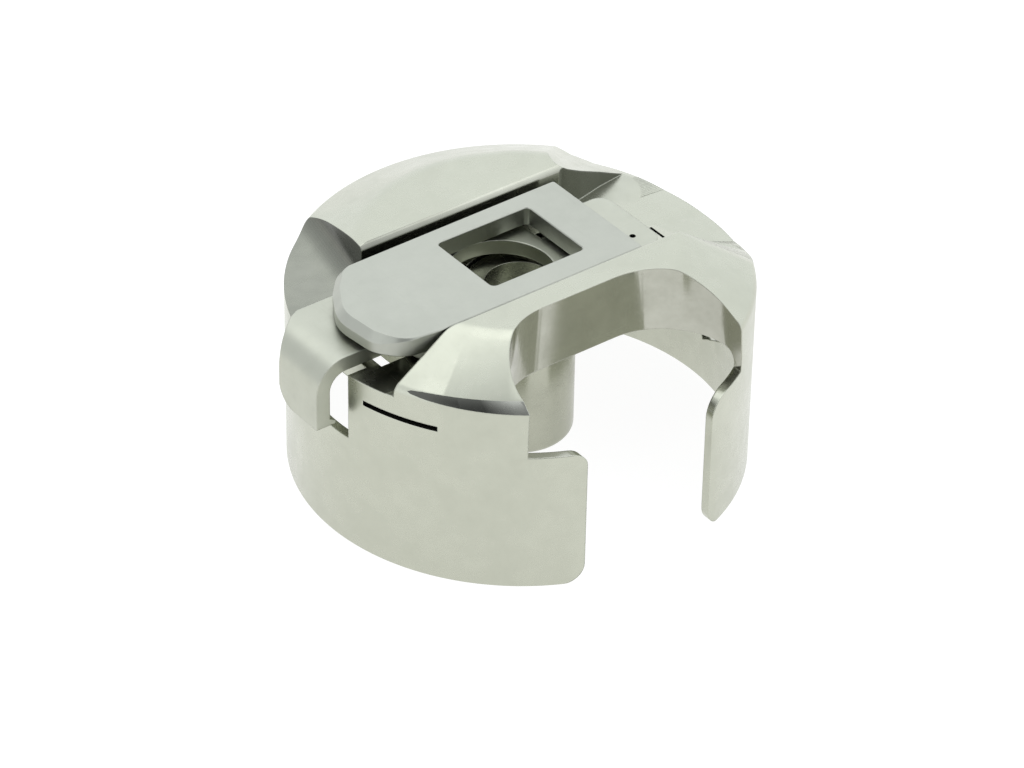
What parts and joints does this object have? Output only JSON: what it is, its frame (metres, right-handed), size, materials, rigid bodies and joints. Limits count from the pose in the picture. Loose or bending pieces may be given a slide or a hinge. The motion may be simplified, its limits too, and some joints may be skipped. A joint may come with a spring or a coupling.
{
  "type": "bobbin case",
  "caption": "Open steel cup for a sewing machine bobbin, with a mouth in its wall, a hinged latch over a sprung slide with a claw, and a leaf spring that tensions the thread.",
  "frame": {"origin": "centre of the part's footprint on the plane of the open rim; the bobbin's axis stands 0.50 mm towards +X and 0.30 mm towards -Y from it", "axes": "+Z from the open rim up to the latch, along the bobbin's axis; +X along the latch from the claw to the hinge; the mouth faces -Y"},
  "size_m": [0.0326, 0.0288, 0.0158],
  "materials": {
    "plated_steel": "tumbled, nickel-plated steel",
    "ground_steel": "satin ground steel",
    "turned_steel": "turned steel",
    "spring_steel": "bright spring steel",
    "screw_steel": "dark bright steel"
  },
  "bodies": {
    "case": {"case_body": "plated_steel", "centre_tube": "turned_steel", "brake_spring": "spring_steel", "tension_spring": "spring_steel", "tension_spring_screw": "screw_steel", "slide_return_spring": "spring_steel"},
    "adjusting_screw": {"tension_adjusting_screw": "screw_steel"},
    "slide": {"latch_slide": "ground_steel", "latch_hinge_pin": "turned_steel"},
    "latch": {"latch_lever": "ground_steel"}
  },
  "joints": [
    {"name": "slide_travel", "type": "slide", "parent": "case", "child": "slide", "axis": [1, 0, 0], "range_m": [0, 0.0013], "stiffness_N_per_m": 60, "springref_m": -0.004, "deforming": ["slide_return_spring"]},
    {"name": "latch_hinge", "type": "hinge", "parent": "slide", "child": "latch", "pos_m": [0.00545, -0.0003, 0.01455], "axis": [0, 1, 0], "range_deg": [0, 80]},
    {"name": "adjusting_screw_turn", "type": "hinge", "parent": "case", "child": "adjusting_screw", "pos_m": [0.0153, 0.00339, 0.0037], "axis": [0.9703, 0.2419, 0], "range_deg": [-180, 180]}
  ],
  "couplings": [
    {"joint": "latch_hinge", "follows": "slide_travel", "rad_per_m": 1074}
  ]
}
